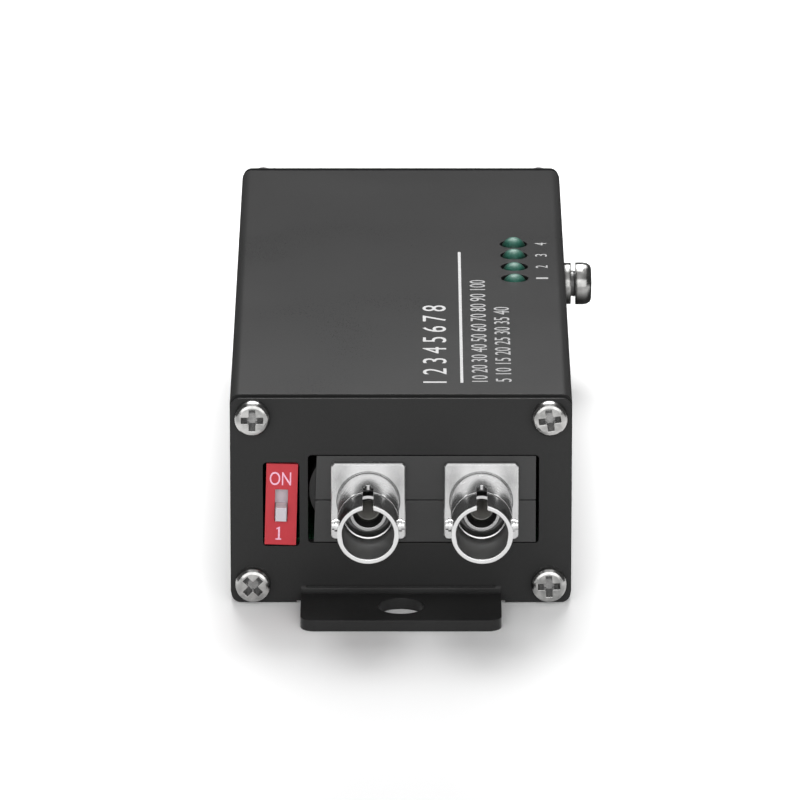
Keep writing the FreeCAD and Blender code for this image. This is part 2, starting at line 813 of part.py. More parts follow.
def dip_switch_slider():
    """White knob in its lower place, on a flat carriage behind the window."""
    middle = -switch_window_drop - switch_travel / 2
    half = switch_window_width / 2 - slide_gap
    knob = box(-half, half, -knob_reach, switch_wall + carriage_thickness / 2,
               middle - knob_height / 2, middle + knob_height / 2)
    front = switch_wall + slide_gap
    carriage = box(-carriage_width / 2, carriage_width / 2, front, front + carriage_thickness,
                   middle - carriage_height / 2, middle + carriage_height / 2)
    return at_switch(fused([knob, carriage]))


def switch_pin_y():
    """Of the pins' upright part, behind the switch's face."""
    return switch_face_depth + switch_base_depth + touch_gap + 2 * switch_pin_width


def dip_switch_pins():
    """Two pins, each out of the rear half and down through the board."""
    drop = switch_z - lead_foot
    back = switch_face_depth + touch_gap + switch_base_depth / 2 + touch_gap
    reach = switch_pin_width / 2
    pins = []
    for x in switch_pin_xs():
        run = box(x - reach, x + reach, back, switch_pin_y() + reach,
                  -switch_pin_drop - reach, -switch_pin_drop + reach)
        leg = box(x - reach, x + reach, switch_pin_y() - reach, switch_pin_y() + reach,
                  -drop, -switch_pin_drop + reach)
        pins.append(at_switch(fused([run, leg])))
    return Part.makeCompound(pins)


def switch_pin_holes():
    """Round holes in the board where the leaning pins cross it."""
    lean = math.radians(switch_tilt)
    radius = switch_pin_width * half_diagonal + pin_hole_gap
    holes = []
    for local in switch_pin_xs():
        depth = board_top - board_thickness / 2 - switch_z
        x = switch_x + local * math.cos(lean) + depth * math.tan(lean)
        y = front_face + switch_pin_y()
        holes.append((x, y, radius))
    return holes


# ---------------------------------------------------------------- LEDs
def led(index):
    """Domed LED whose rim sits on the holder, below the case's top."""
    radius = led_diameter / 2
    top = case_height + led_rises[index]
    centre = top - radius
    foot = top - led_body_height
    rim = led_rim_diameter / 2
    diagonal = radius * math.sqrt(0.5)
    edges = [
        Part.LineSegment(V(0, 0, foot), V(rim, 0, foot)),
        Part.LineSegment(V(rim, 0, foot), V(rim, 0, foot + led_rim_height)),
        Part.LineSegment(V(rim, 0, foot + led_rim_height), V(radius, 0, foot + led_rim_height)),
        Part.LineSegment(V(radius, 0, foot + led_rim_height), V(radius, 0, centre)),
        Part.Arc(V(radius, 0, centre), V(diagonal, 0, centre + diagonal), V(0, 0, top)),
        Part.LineSegment(V(0, 0, top), V(0, 0, foot)),
    ]
    profile = Part.Face(Part.Wire([edge.toShape() for edge in edges]))
    body = profile.revolve(ORIGIN, Z_AXIS, 360)
    body.translate(V(led_x, led_ys[index], 0))
    return body


def led_foot(index):
    return case_height + led_rises[index] - led_body_height


def led_lead_places():
    places = []
    for index, y in enumerate(led_ys):
        for side in (-1, 1):
            places.append((led_x + side * led_lead_pitch / 2, y, led_foot(index)))
    return places


def led_holder():
    """Black stand that holds the four LEDs up at the case's top."""
    y0 = led_ys[0] - led_holder_overhang
    y1 = led_ys[-1] + led_holder_overhang
    half = led_holder_width / 2
    bounds = [y0] + [(a + b) / 2 for a, b in zip(led_ys, led_ys[1:])] + [y1]
    columns = [box(led_x - half, led_x + half, bounds[i], bounds[i + 1], board_top, led_foot(i) - touch_gap)
               for i in range(len(led_ys))]
    holder = fused(columns)
    holes = []
    for x, y, top in led_lead_places():
        reach = led_lead_width / 2 + touch_gap
        holes.append(box(x - reach, x + reach, y - reach, y + reach, board_top - overrun, top + overrun))
    return holder.cut(Part.makeCompound(holes))


def led_leads():
    """Eight straight leads down through the board."""
    reach = led_lead_width / 2
    return Part.makeCompound([box(x - reach, x + reach, y - reach, y + reach, lead_foot, top)
                              for x, y, top in led_lead_places()])


# ---------------------------------------------------------------- network jack
def jack_front():
    return rear_face + jack_proud


def jack_plug_floor():
    return board_top + jack_plug_lift


def rj45_shield():
    """Tinned sheet shell, open below and at the mouth."""
    half = jack_width / 2
    top = board_top + jack_height
    front = jack_front()
    shell = box(jack_x - half, jack_x + half, front - jack_depth, front, board_top, top)
    inside = box(jack_x - half + jack_shell, jack_x + half - jack_shell,
                 front - jack_depth + jack_shell, front, board_top, top - jack_shell)
    return shell.cut(inside)


def rj45_insert():
    """Plastic body with the plug space, its latch slot below and a comb for the contacts above."""
    half = jack_width / 2 - jack_shell - touch_gap
    top = board_top + jack_height - jack_shell - touch_gap
    front = jack_front() - touch_gap
    back = jack_front() - jack_depth + jack_shell + touch_gap
    body = box(jack_x - half, jack_x + half, back, front, board_top, top)
    floor = jack_plug_floor()
    plug_half = jack_plug_width / 2
    spaces = [
        box(jack_x - plug_half, jack_x + plug_half, front - jack_plug_depth, front,
            floor, floor + jack_plug_height),
        box(jack_x - latch_slot_width / 2, jack_x + latch_slot_width / 2, front - jack_plug_depth, front,
            floor - latch_slot_depth, floor),
        box(jack_x - latch_notch_width / 2, jack_x + latch_notch_width / 2, front - jack_plug_depth, front,
            floor - latch_slot_depth - latch_notch_depth, floor - latch_slot_depth),
    ]
    comb = []
    for x in jack_contact_xs():
        reach = jack_contact_width / 2 + touch_gap
        comb.append(box(x - reach, x + reach, front - jack_plug_depth - jack_contact_width * 2,
                        front - jack_comb_inset, floor + jack_plug_height - overrun,
                        floor + jack_plug_height + 2 * jack_contact_width))
    return body.cut(fused(spaces)).cut(Part.makeCompound(comb))


def jack_contact_xs():
    first = jack_x - jack_contact_pitch * (jack_contact_count - 1) / 2
    return [first + index * jack_contact_pitch for index in range(jack_contact_count)]


def rj45_contacts():
    """Eight sprung wires that come in over the plug space and slope back into it."""
    front = jack_front() - touch_gap - jack_comb_inset - touch_gap
    back = front - jack_plug_depth * jack_contact_slope_share
    roof = jack_plug_floor() + jack_plug_height + 2 * jack_contact_width - touch_gap
    thick = jack_contact_width
    rear_wall = jack_front() - touch_gap - jack_plug_depth - jack_contact_width * 2 + touch_gap
    wires = []
    for x in jack_contact_xs():
        outline = [
            (rear_wall, roof), (front, roof), (front, roof - thick),
            (back, roof - thick - jack_contact_drop), (back - thick, roof - jack_contact_drop),
            (front - 2 * thick, roof - thick + touch_gap), (rear_wall, roof - thick + touch_gap),
        ]
        wires.append(prism_x(outline, x - thick / 2, x + thick / 2))
    return Part.makeCompound(wires)


# ---------------------------------------------------------------- power terminal
def terminal_header():
    """Open socket on the board that takes the plug."""
    half = header_width / 2
    top = board_top + header_height
    block = box(terminal_x - half, terminal_x + half, terminal_rear - header_depth, terminal_rear,
                board_top, top)
    hollow = box(terminal_x - half + header_wall, terminal_x + half - header_wall,
                 terminal_rear - header_depth + header_back_wall, terminal_rear + overrun,
                 board_top + header_wall, top - header_wall)
    cuts = []
    reach = header_pin_width / 2 + touch_gap
    for x in pole_xs:
        cuts.append(box(x - reach, x + reach, terminal_rear - header_depth - overrun,
                        terminal_rear - header_depth + header_back_wall + overrun,
                        header_mid - reach, header_mid + reach))
    return block.cut(hollow).cut(Part.makeCompound(cuts))


def header_pin_leg():
    """Middle of the upright part of a header pin, along Y."""
    return terminal_rear - header_depth - header_pin_width


def terminal_header_pins():
    """Two bent square pins, from the socket down through the board."""
    reach = header_pin_width / 2
    pins = []
    for x in pole_xs:
        start = header_pin_leg() - reach
        end = terminal_rear - header_depth + header_back_wall + header_pin_length
        run = box(x - reach, x + reach, start, end, header_mid - reach, header_mid + reach)
        leg = box(x - reach, x + reach, start, start + header_pin_width, lead_foot, header_mid + reach)
        pins.append(fused([run, leg]))
    return Part.makeCompound(pins)


def plug_front():
    """Nose of the plug inside the socket."""
    return terminal_rear - plug_insert_depth


def plug_foot():
    return board_top + header_wall + slide_gap


def plug_top():
    return plug_foot() + plug_rear_height


def plug_rear():
    return terminal_rear + plug_flange_gap + plug_rear_depth


def chamber_middle():
    """Middle of the clamp chambers along Y."""
    return terminal_rear + plug_flange_gap + plug_rear_depth / 2


def cage_foot_level():
    return plug_foot() + plug_floor + cage_floor_gap


def strip_top():
    """The contact strip lies just under the head of the open cage."""
    return cage_foot_level() + cage_height - cage_head - slide_gap


def strip_start():
    """End of the contact strip towards the socket, a little inside the plug's nose."""
    return terminal_rear - strip_nose_reach


def screw_seat():
    return plug_top() - clamp_screw_recess - clamp_screw_head_height


def plug_housing():
    """Green plug body: a nose in the socket, and behind it two clamp chambers with screw wells above."""
    half = header_width / 2 - header_wall - slide_gap
    nose_top = board_top + header_height - header_wall - slide_gap
    rear_start = terminal_rear + plug_flange_gap
    pieces = [
        box(terminal_x - half, terminal_x + half, plug_front(), rear_start, plug_foot(), nose_top),
        box(terminal_x - half, terminal_x + half, rear_start, plug_rear(), plug_foot(), plug_top()),
    ]
    cuts = []
    middle = chamber_middle()
    for x in pole_xs:
        side = cage_width / 2 + slide_gap
        depth = cage_depth / 2 + slide_gap
        cuts.append(box(x - side, x + side, middle - depth, middle + depth, plug_foot() + plug_floor,
                        screw_seat() - clamp_shoulder))
        cuts.append(rod(clamp_screw_diameter / 2 + slide_gap, V(x, middle, strip_top()),
                        V(x, middle, plug_top() + overrun)))
        cuts.append(rod(clamp_screw_head_diameter / 2 + slide_gap, V(x, middle, screw_seat() - touch_gap),
                        V(x, middle, plug_top() + overrun)))
        entry_foot = cage_foot_level() + cage_foot
        cuts.append(box(x - wire_entry_width / 2, x + wire_entry_width / 2, middle, plug_rear() + overrun,
                        entry_foot, entry_foot + wire_entry_height))
        strip_half = strip_width / 2 + touch_gap
        cuts.append(box(x - strip_half, x + strip_half, strip_start() - touch_gap, middle,
                        strip_top() - strip_thickness - touch_gap, strip_top() + touch_gap))
        socket = header_pin_width / 2 + slide_gap * 2
        cuts.append(box(x - socket, x + socket, plug_front() - overrun, plug_front() + header_pin_length,
                        header_mid - socket, header_mid + socket))
    return fused(pieces).cut(fused(cuts))


def clamp_strip(x):
    """Contact strip from above the header pin to under the clamp screw."""
    half = strip_width / 2
    top = strip_top()
    end = chamber_middle() + cage_depth / 2
    return box(x - half, x + half, strip_start(), end, top - strip_thickness, top)


def clamp_cage(x):
    """Rising cage in its lowest place: a closed ring whose head is threaded on the screw."""
    foot = cage_foot_level()
    middle = chamber_middle()
    outer = box(x - cage_width / 2, x + cage_width / 2, middle - cage_depth / 2, middle + cage_depth / 2,
                foot, foot + cage_height)
    window = box(x - cage_width / 2 + cage_side, x + cage_width / 2 - cage_side, middle - cage_depth,
                 middle + cage_depth, foot + cage_foot, foot + cage_height - cage_head)
    head = foot + cage_height
    thread = rod(clamp_screw_diameter / 2 + thread_gap, V(x, middle, head - cage_head - overrun),
                 V(x, middle, head + overrun))
    return outer.cut(window).cut(thread)


def clamp_screw(x, slot_turn):
    """Slotted screw that turns in its well, its tip on the contact strip."""
    head = clamp_screw_head_diameter / 2
    shank = clamp_screw_diameter / 2
    tip = strip_top() + touch_gap - screw_seat()
    height = clamp_screw_head_height
    screw = turned([(0, tip), (shank, tip), (shank, 0), (head, 0), (head, height), (0, height)])
    slot = box(-head - overrun, head + overrun, -clamp_slot_width / 2, clamp_slot_width / 2, height / 2,
               height + overrun)
    slot.rotate(ORIGIN, Z_AXIS, slot_turn)
    return placed(screw.cut(slot), V(x, chamber_middle(), screw_seat()), Z_AXIS)


# ---------------------------------------------------------------- board and its chips
def board_holes():
    """Every lead that goes through the board, as (x, y, hole radius)."""
    holes = [(x, y, module_pin_width * half_diagonal + pin_hole_gap) for x, y in module_pin_places()]
    holes += [(x, y, module_post_diameter / 2 + pin_hole_gap) for x, y in module_post_places()]
    holes += [(x, y, led_lead_width * half_diagonal + pin_hole_gap) for x, y, top in led_lead_places()]
    holes += [(x, header_pin_leg(), header_pin_width * half_diagonal + pin_hole_gap) for x in pole_xs]
    return holes + switch_pin_holes()


def main_board():
    half = inner_half_width - board_side_gap
    end = half_sleeve - board_end_gap
    board = box(-half, half, -end, end, board_bottom, board_top)
    holes = [rod(radius, V(x, y, board_bottom - overrun), V(x, y, board_top + overrun))
             for x, y, radius in board_holes()]
    return board.cut(Part.makeCompound(holes))


def on_board(x, y, length_x, length_y, height):
    """Block centred at a place on the board."""
    return box(x - length_x / 2, x + length_x / 2, y - length_y / 2, y + length_y / 2,
               board_top, board_top + height)


def chamfered_block(x, y, side, height, chamfer):
    block = on_board(x, y, side, side, height)
    top = [edge for edge in block.Edges if edge.CenterOfMass.z > board_top + height - 1e-6]
    return block.makeChamfer(chamfer, top)


def capacitor():
    """Round can on a square moulded foot."""
    foot = board_top + capacitor_foot_height
    top = board_top + capacitor_height
    can = rod(capacitor_diameter / 2, V(capacitor_x, capacitor_y, foot), V(capacitor_x, capacitor_y, top))
    rim = [edge for edge in can.Edges if edge.CenterOfMass.z > top - 1e-6]
    can = can.makeChamfer(capacitor_rim_bevel, rim)
    side = capacitor_diameter + 2 * capacitor_foot_ledge
    return fused([on_board(capacitor_x, capacitor_y, side, side, capacitor_foot_height), can])


def crystal():
    """Flat can with round ends and a thin rim at its foot."""
    end = crystal_width / 2
    reach = crystal_length / 2 - end
    pieces = []
    for radius, height in ((end, crystal_rim_height), (end - crystal_rim, crystal_height)):
        for side in (-1, 1):
            centre = V(crystal_x, crystal_y + side * reach, board_top)
            pieces.append(rod(radius, centre, centre + V(0, 0, height)))
        pieces.append(on_board(crystal_x, crystal_y, 2 * radius, 2 * reach, height))
    return fused(pieces)


# ---------------------------------------------------------------- all pieces
nodes = {
    "case_sleeve": case_sleeve(),
    "front_plate": front_plate(),
    "rear_plate": rear_plate(),
    "front_plate_screws": plate_screws(front_face, -Y_AXIS),
    "rear_plate_screws": plate_screws(rear_face, Y_AXIS),
    "earth_screw": earth_screw(),
    "earth_spring_washer": earth_spring_washer(),
    "earth_flat_washer": earth_flat_washer(),
    "main_board": main_board(),
    "transceiver_housing_lower": transceiver_housing_lower(),
    "transceiver_housing_upper": transceiver_housing_upper(),
    "transceiver_board": transceiver_board(),
    "transceiver_pins": transceiver_pins(),
    "dip_switch_housing": dip_switch_housing(),
    "dip_switch_base": dip_switch_base(),
    "dip_switch_slider": dip_switch_slider(),
    "dip_switch_pins": dip_switch_pins(),
    "led_holder": led_holder(),
    "led_leads": led_leads(),
    "rj45_shield": rj45_shield(),
    "rj45_insert": rj45_insert(),
    "rj45_contacts": rj45_contacts(),
    "terminal_header": terminal_header(),
    "terminal_header_pins": terminal_header_pins(),
    "terminal_plug": plug_housing(),
    "network_chip": chamfered_block(chip_x, chip_y, chip_side, chip_height, chip_bevel),
    "lan_transformer": on_board(transformer_x, transformer_y, transformer_width, transformer_length,
                                transformer_height),
    "power_inductor": chamfered_block(inductor_x, inductor_y, inductor_side, inductor_height, inductor_bevel),
    "power_capacitor": capacitor(),
    "crystal": crystal(),
}
for name, x in zip(("st_port_left", "st_port_right"), port_xs):
    nodes[name] = at_port(st_port(), x)
for name, x in zip(("ferrule_sleeve_left", "ferrule_sleeve_right"), port_xs):
    nodes[name] = at_port(split_sleeve(), x)
for name, x in zip(("laser_can", "photodiode_can"), port_xs):
    nodes[name] = at_port(diode_header(), x)
for index in range(len(led_ys)):
    nodes["led_%d" % (index + 1)] = led(index)
for name, x, slot_turn in zip(("left", "right"), pole_xs, clamp_slot_turns):
    nodes["clamp_screw_" + name] = clamp_screw(x, slot_turn)
    nodes["clamp_cage_" + name] = clamp_cage(x)
    nodes["clamp_strip_" + name] = clamp_strip(x)

os.makedirs("parts", exist_ok=True)
for name, shape in nodes.items():
    shape.exportStep("parts/%s.step" % name)
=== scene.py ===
"""Looks of the fibre media converter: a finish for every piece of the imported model, the printing on
its case and switch, the thread of its earth screw, and a plain pale studio.

Metres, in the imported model's own frame: X right, Y to the rear, Z up.
"""
import bpy
import json
import math
import numpy as np
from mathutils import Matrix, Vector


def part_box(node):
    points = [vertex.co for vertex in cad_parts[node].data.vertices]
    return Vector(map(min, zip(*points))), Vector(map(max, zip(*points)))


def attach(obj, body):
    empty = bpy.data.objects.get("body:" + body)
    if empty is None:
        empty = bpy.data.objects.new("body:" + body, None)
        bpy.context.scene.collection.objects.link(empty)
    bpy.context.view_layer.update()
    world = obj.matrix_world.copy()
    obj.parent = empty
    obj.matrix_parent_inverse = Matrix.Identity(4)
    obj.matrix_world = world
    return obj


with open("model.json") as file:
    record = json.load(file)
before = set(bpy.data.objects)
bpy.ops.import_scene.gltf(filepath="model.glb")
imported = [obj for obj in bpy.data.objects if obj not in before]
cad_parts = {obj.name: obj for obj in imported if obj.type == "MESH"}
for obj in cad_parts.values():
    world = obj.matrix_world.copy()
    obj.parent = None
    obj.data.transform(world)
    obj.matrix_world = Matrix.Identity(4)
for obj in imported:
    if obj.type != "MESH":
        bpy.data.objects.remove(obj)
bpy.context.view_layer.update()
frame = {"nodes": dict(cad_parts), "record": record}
MM = 0.001

# The switch leans a little in its opening. These are its own upward and rightward directions.
switch_lean = math.radians(1.6)
switch_up = np.array([math.sin(switch_lean), 0, math.cos(switch_lean)])
switch_right = np.array([math.cos(switch_lean), 0, -math.sin(switch_lean)])


# ---------------------------------------------------------------- sums in a node tree
class Wire:
    """One socket of a node tree. A sum on it adds a Math node, and node() adds any other node."""

    def __init__(self, tree, socket):
        self.tree = tree
        self.socket = socket

    def node(self, kind, settings=None, links=None, output=0):
        """Adds a node: its own settings or its ramp's stops first, then its sockets' values or
        wires. Returns the wire of the output that is asked for."""
        made = self.tree.nodes.new(kind)
        for name, value in (settings or {}).items():
            if name == "stops":
                ramp = made.color_ramp.elements
                for index, (position, tone) in enumerate(value):
                    stop = ramp[index] if index < 2 else ramp.new(position)
                    stop.position = position
                    stop.color = (*tone, 1.0)
            else:
                setattr(made, name, value)
        for name, value in (links or {}).items():
            if isinstance(value, Wire):
                self.tree.links.new(value.socket, made.inputs[name])
            else:
                made.inputs[name].default_value = value
        return Wire(self.tree, made.outputs[output])

    def _sum(self, operation, first, second=0.0):
        return self.node("ShaderNodeMath", {"operation": operation}, {0: first, 1: second})

    def __add__(self, other):
        return self._sum("ADD", self, other)

    def __radd__(self, other):
        return self._sum("ADD", other, self)

    def __sub__(self, other):
        return self._sum("SUBTRACT", self, other)

    def __rsub__(self, other):
        return self._sum("SUBTRACT", other, self)

    def __mul__(self, other):
        return self._sum("MULTIPLY", self, other)

    def __rmul__(self, other):
        return self._sum("MULTIPLY", other, self)

    def __truediv__(self, other):
        return self._sum("DIVIDE", self, other)

    def __pow__(self, other):
        return self._sum("POWER", self, other)

    def absolute(self):
        return self._sum("ABSOLUTE", self)

    def fraction(self):
        """What is left over a whole number."""
        return self._sum("FRACT", self)

    def clamped(self):
        return self.node("ShaderNodeClamp", {}, {0: self})

    def stretched(self, x, y, z):
        """These coordinates, each scaled by its own factor."""
        return self.node("ShaderNodeVectorMath", {"operation": "MULTIPLY"},
                         {0: self, 1: (x, y, z)})

    def parts(self):
        """The three parts of a vector."""
        return [self.node("ShaderNodeSeparateXYZ", {}, {0: self}, index) for index in range(3)]

    def noise(self, scale, detail=2.0, roughness=0.5):
        """Cloudy noise from 0 to 1 at these coordinates, so many grains a metre."""
        return self.node("ShaderNodeTexNoise", {}, {"Vector": self, "Scale": scale,
                                                    "Detail": detail, "Roughness": roughness})

    def blend(self, low, high):
        """The colour low where this mask is 0 and high where it is 1."""
        low = low if isinstance(low, Wire) else (*low, 1.0)
        high = high if isinstance(high, Wire) else (*high, 1.0)
        return self.node("ShaderNodeMix", {"data_type": "RGBA"}, {0: self, 6: low, 7: high}, 2)

    def smooth(self, low, high):
        """0 below low and 1 above high, with a soft step between."""
        return self.node("ShaderNodeMapRange", {"interpolation_type": "SMOOTHSTEP"},
                         {"Value": self, "From Min": low, "From Max": high})

    def within(self, rise, fall):
        """1 from the soft step rise to the soft step fall, and 0 outside them. Each step is a pair
        of where it starts and where it ends."""
        return self.smooth(*rise) * (1.0 - self.smooth(*fall))


def grey(level):
    """A neutral colour of one level."""
    return (level, level, level)


def new_finish(name, fixed):
    """A material with one Principled shader: fixed gives what is the same all over it. Returns the
    material, the shader and a wire of its object coordinates."""
    material = bpy.data.materials.new(name)
    material.use_nodes = True
    tree = material.node_tree
    shader = tree.nodes["Principled BSDF"]
    for socket, value in fixed.items():
        shader.inputs[socket].default_value = value
    coordinates = tree.nodes.new("ShaderNodeTexCoord")
    return material, shader, Wire(tree, coordinates.outputs["Object"])


def wire_up(shader, varied, height=None, depth=0.0, soft_edge=0.0):
    """Feeds what varies into the shader. height becomes a bump of that depth in metres, on a normal
    that is rounded at sharp edges to the radius soft_edge."""
    tree = shader.id_data
    for socket, wire in varied.items():
        tree.links.new(wire.socket, shader.inputs[socket])
    normal = None
    if soft_edge:
        bevel = tree.nodes.new("ShaderNodeBevel")
        bevel.samples = 6
        bevel.inputs["Radius"].default_value = soft_edge
        normal = bevel.outputs[0]
    if height is not None:
        bump = tree.nodes.new("ShaderNodeBump")
        bump.inputs["Strength"].default_value = 1.0
        bump.inputs["Distance"].default_value = depth
        tree.links.new(height.socket, bump.inputs["Height"])
        if normal is not None:
            tree.links.new(normal, bump.inputs["Normal"])
        normal = bump.outputs[0]
    if normal is not None:
        tree.links.new(normal, shader.inputs["Normal"])


# ---------------------------------------------------------------- finishes
def make_case_paint():
    """Matt dark grey stoving paint: a fine skin of orange peel, with a little cloud in its tone."""
    material, shader, place = new_finish("case_paint", {"Specular IOR Level": 0.12})
    skin = place.noise(2600.0, 3.0)
    grain = place.noise(9000.0, 2.0)
    cloud = place.noise(45.0, 2.0)
    tone = 0.5 * cloud + 0.35 * grain + 0.15 * skin
    wire_up(shader, {"Base Color": tone.smooth(0.25, 0.75).blend(grey(0.0215), grey(0.0285)),
                     "Roughness": 0.24 + 0.06 * grain + 0.04 * cloud},
            0.7 * skin + 0.3 * grain, 0.006 * MM, 0.16 * MM)
    return material


def make_screw_steel(name, dull, bright, soft_edge):
    """Zinc-nickel plate on turned steel: fine rubbed marks, an uneven gloss from dull to bright,
    and painted shade in the hollows: a dull grey where little open air lies round a point."""
    material, shader, place = new_finish(name, {})
    rub = place.noise(1500.0, 4.0, 0.6)
    pit = place.noise(6500.0, 2.0)
    cloud = place.noise(800.0, 2.0).smooth(0.34, 0.66)
    # Where little open air lies round a point, the base colour falls to a dull grey: painted shade in
    # the hollows.
    outside_painted_shade = place.node("ShaderNodeAmbientOcclusion", {"samples": 6},
                          {"Distance": 2.0 * MM}, 1).smooth(0.05, 0.80)
    plate = (0.7 * cloud + 0.3 * rub).blend((dull, dull, 0.98 * dull),
                                            (bright, 0.99 * bright, 0.97 * bright))
    wire_up(shader, {"Base Color": outside_painted_shade.blend(grey(0.18), plate),
                     "Metallic": 0.25 + 0.75 * outside_painted_shade,
                     "Roughness": 0.13 + 0.12 * rub},
            0.6 * rub + 0.4 * pit, 0.006 * MM, soft_edge)
    return material


def make_board_laminate():
    """Green solder mask over copper: paler tracks in straight runs, on a fine glass weave."""
    material, shader, place = new_finish("board_laminate", {"Specular IOR Level": 0.5})
    weave = place.node("ShaderNodeTexWave", {"wave_type": "BANDS"},
                       {"Vector": place, "Scale": 500.0})
    tracks = place.node("ShaderNodeTexBrick",
                        {"offset": 0.37, "squash": 0.6, "squash_frequency": 3},
                        {"Vector": place, "Scale": 260.0, "Mortar Size": 0.03}, 1)
    cloud = place.noise(300.0)
    wire_up(shader, {"Base Color": tracks.blend((0.009, 0.062, 0.026), (0.022, 0.14, 0.055)),
                     "Roughness": 0.28 + 0.15 * cloud},
            0.7 * tracks + 0.3 * weave, 0.02 * MM)
    return material


def make_black_plastic():
    """Black moulded plastic with the fine even matt that a spark-cut mould leaves."""
    material, shader, place = new_finish("black_plastic", {"Specular IOR Level": 0.42})
    grain = place.noise(5200.0, 3.0)
    flow = place.stretched(1.0, 0.25, 1.0).noise(220.0, 2.0)
    wire_up(shader, {"Base Color": flow.blend(grey(0.024), grey(0.032)),
                     "Roughness": 0.42 + 0.12 * grain},
            grain, 0.008 * MM, 0.10 * MM)
    return material


def make_port_nickel():
    """Polished nickel on turned brass: faint tool rings along the barrels, a painted highlight as a
    bright band behind the groove, duller plate from there to the flange, and a rougher wall inside
    each mouth, painted dark as shade."""
    # Soft steps, by distance from the port's axis
    bore_wall = (2.91 * MM, 2.93 * MM)
    rim_inside = (1.70 * MM, 1.73 * MM)
    rim_outside = (2.06 * MM, 2.09 * MM)
    painted_shade_deepens = (2.2 * MM, 2.6 * MM)
    # Soft steps, by distance behind the port's tip
    highlight_ring_starts = (4.74 * MM, 4.78 * MM)
    highlight_ring_ends = (5.05 * MM, 5.12 * MM)
    ledge_starts = (7.04 * MM, 7.07 * MM)
    ledge_ends = (7.20 * MM, 7.24 * MM)

    left_low, left_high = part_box("st_port_left")
    right_low, right_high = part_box("st_port_right")
    middle_x = (left_low[0] + right_high[0]) / 2
    half_pitch = (right_low[0] - left_low[0]) / 2
    axis_z = (left_low[2] + left_high[2]) / 2
    material, shader, place = new_finish("port_nickel", {"Metallic": 1.0})
    x, y, z = place.parts()
    off_axis = (x - middle_x).absolute() - half_pitch
    height = z - axis_z
    distance = (off_axis * off_axis + height * height) ** 0.5
    setback = y - left_low[1]

    inside = 1.0 - distance.smooth(*bore_wall)
    ferrule_rim = distance.within(rim_inside, rim_outside)
    ledge = setback.within(ledge_starts, ledge_ends)
    wall = inside * (1.0 - ferrule_rim) * (1.0 - ledge)
    behind_highlight_start = setback.smooth(*highlight_ring_starts)
    behind_highlight_ring = setback.smooth(*highlight_ring_ends)

    rings = place.stretched(0.06, 1.0, 0.06).noise(9000.0, 3.0)
    cloud = place.noise(700.0, 3.0)
    barrel = cloud.blend(grey(0.52), grey(0.60))
    root = cloud.blend(grey(0.45), grey(0.54))
    # Behind the groove a narrow band is painted bright grey: a painted highlight standing in for
    # light off the groove's rear wall.
    plate = behind_highlight_ring.blend(behind_highlight_start.blend(barrel, grey(0.93)), root)
    # Inside each mouth the wall is painted dark grey, darkest towards the axis: painted shade, on a
    # plate that is also rougher there.
    skin = distance.smooth(*painted_shade_deepens).blend(grey(0.10), grey(0.24))
    roughness = 0.08 + 0.07 * cloud + 0.05 * rings + 0.22 * wall + 0.12 * behind_highlight_ring
    wire_up(shader, {"Base Color": wall.blend(plate, skin), "Roughness": roughness},
            rings, 0.0012 * MM, 0.09 * MM)
    return material


def make_ceramic():
    """Polished white zirconia, faintly warm."""
    material, shader, place = new_finish("ceramic", {"Coat Weight": 0.4, "Coat Roughness": 0.05})
    cloud = place.noise(1800.0)
    wire_up(shader, {"Base Color": cloud.blend((0.80, 0.79, 0.75), (0.88, 0.87, 0.84)),
                     "Roughness": 0.14 + 0.08 * cloud})
    return material


def make_red_plastic():
    """Red moulded plastic, semi-gloss, with a little flow in the colour."""
    material, shader, place = new_finish("red_plastic", {"Specular IOR Level": 0.4})
    grain = place.noise(4600.0, 3.0)
    flow = place.stretched(1.0, 1.0, 0.35).noise(420.0, 2.0)
    wire_up(shader, {"Base Color": flow.blend((0.43, 0.018, 0.029), (0.51, 0.027, 0.040)),
                     "Roughness": 0.36 + 0.12 * grain},
            grain, 0.006 * MM, 0.08 * MM)
    return material


def make_white_plastic():
    """Near-white moulded plastic, painted paler as painted light on the switch knob's upper face,
    which lies above a height on the leaning switch and ends at a depth behind the housing's front."""
    face_starts = (-0.17 * MM, -0.14 * MM)
    face_ends = (0.98 * MM, 1.01 * MM)
    low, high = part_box("dip_switch_housing")
    middle_x = (low[0] + high[0]) / 2
    middle_z = (low[2] + high[2]) / 2
    material, shader, place = new_finish("white_plastic", {"Specular IOR Level": 0.45})
    grain = place.noise(4200.0, 3.0)
    x, y, z = place.parts()
    height = switch_up[0] * (x - middle_x) + switch_up[2] * (z - middle_z)
    # The knob's upper face is painted paler than the rest: painted light standing in for light it
    # lacks in its opening.
    painted_light_top = height.smooth(*face_starts) * (1.0 - (y - low[1]).smooth(*face_ends))
    plain = grain.blend((0.49, 0.46, 0.50), (0.56, 0.53, 0.57))
    wire_up(shader, {"Base Color": painted_light_top.blend(plain, (0.87, 0.84, 0.87)),
                     "Roughness": 0.34 + 0.12 * grain},
            grain, 0.006 * MM, 0.10 * MM)
    return material


def make_tinned_metal():
    """Tin plate: small crystals that differ a little in gloss, and fine rolling lines."""
    material, shader, place = new_finish("tinned_metal", {"Metallic": 1.0})
    crystals = place.node("ShaderNodeTexVoronoi", {"feature": "F1"},
                          {"Vector": place, "Scale": 1400.0})
    lines = place.stretched(1.0, 0.04, 1.0).noise(5200.0, 3.0)
    wire_up(shader, {"Base Color": lines.blend((0.60, 0.60, 0.59), (0.74, 0.74, 0.72)),
                     "Roughness": 0.24 + 90.0 * crystals},
            lines, 0.003 * MM, 0.06 * MM)
    return material


def make_contact_gold():
    """Thin gold on sprung bronze."""
    material, shader, place = new_finish("contact_gold", {"Metallic": 1.0})
    lines = place.stretched(1.0, 0.05, 1.0).noise(6000.0, 2.0)
    wire_up(shader, {"Base Color": lines.blend((0.78, 0.56, 0.22), (0.90, 0.70, 0.34)),
                     "Roughness": 0.20 + 0.12 * lines})
    return material


